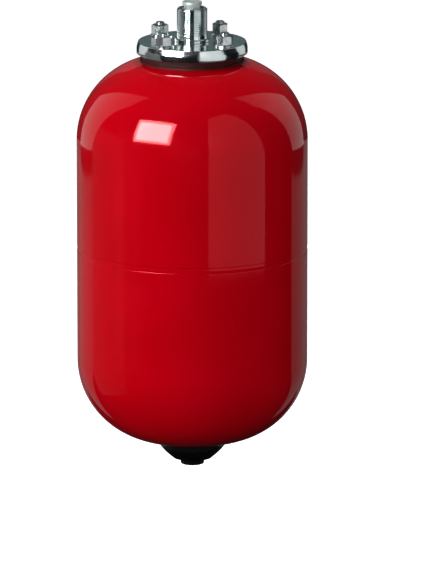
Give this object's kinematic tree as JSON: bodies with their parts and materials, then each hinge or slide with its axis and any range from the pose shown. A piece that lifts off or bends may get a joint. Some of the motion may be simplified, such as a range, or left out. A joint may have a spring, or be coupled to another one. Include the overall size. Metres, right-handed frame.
{
  "type": "expansion vessel",
  "caption": "Red pressed-steel expansion vessel with a bolted zinc counterflange, a male threaded connection on top and a covered gas valve at the bottom.",
  "frame": {"origin": "centre of the connection nipple's free end face", "axes": "+Z along the vessel's axis, out of the nipple; +Y from the viewer's side to the back, +X to the right"},
  "size_m": [0.2, 0.2, 0.4099],
  "materials": {
    "red_paint": "gloss red powder coat",
    "zinc": "bright zinc plate",
    "grey_plastic": "grey moulded plastic",
    "rubber": "matt black rubber",
    "brass": "machined brass",
    "spring_steel": "drawn steel",
    "black_plastic": "satin black moulded plastic"
  },
  "bodies": {
    "vessel": {"upper_shell": "red_paint", "lower_shell": "red_paint", "girth_weld": "red_paint", "neck_ring": "red_paint", "neck_weld": "red_paint", "valve_boss": "red_paint", "boss_weld": "red_paint", "counterflange": "zinc", "connection_nipple": "zinc", "stud_1": "zinc", "washer_1": "zinc", "nut_1": "zinc", "stud_2": "zinc", "washer_2": "zinc", "nut_2": "zinc", "stud_3": "zinc", "washer_3": "zinc", "nut_3": "zinc", "stud_4": "zinc", "washer_4": "zinc", "nut_4": "zinc", "bladder": "rubber", "valve_seal": "rubber", "valve_body": "brass", "valve_core": "brass", "valve_spring": "spring_steel"},
    "bore_plug": {"bore_plug": "grey_plastic"},
    "valve_cover": {"valve_cover": "black_plastic"},
    "dust_cap": {"dust_cap": "black_plastic"},
    "valve_pin": {"valve_pin": "spring_steel"}
  },
  "joints": [
    {"name": "plug_pull", "type": "slide", "parent": "vessel", "child": "bore_plug", "axis": [0, 0, 1], "range_m": [0, 0.03]},
    {"name": "cover_pull", "type": "slide", "parent": "vessel", "child": "valve_cover", "axis": [0, 0, -1], "range_m": [0, 0.03]},
    {"name": "dust_cap_turn", "type": "hinge", "parent": "vessel", "child": "dust_cap", "pos_m": [0, 0, -0.395], "axis": [0, 0, -1], "range_deg": [0, 2160]},
    {"name": "pin_press", "type": "slide", "parent": "vessel", "child": "valve_pin", "axis": [0, 0, 1], "range_m": [0, 0.001], "stiffness_N_per_m": 400, "springref_m": -0.003, "deforming": ["valve_spring"]}
  ]
}
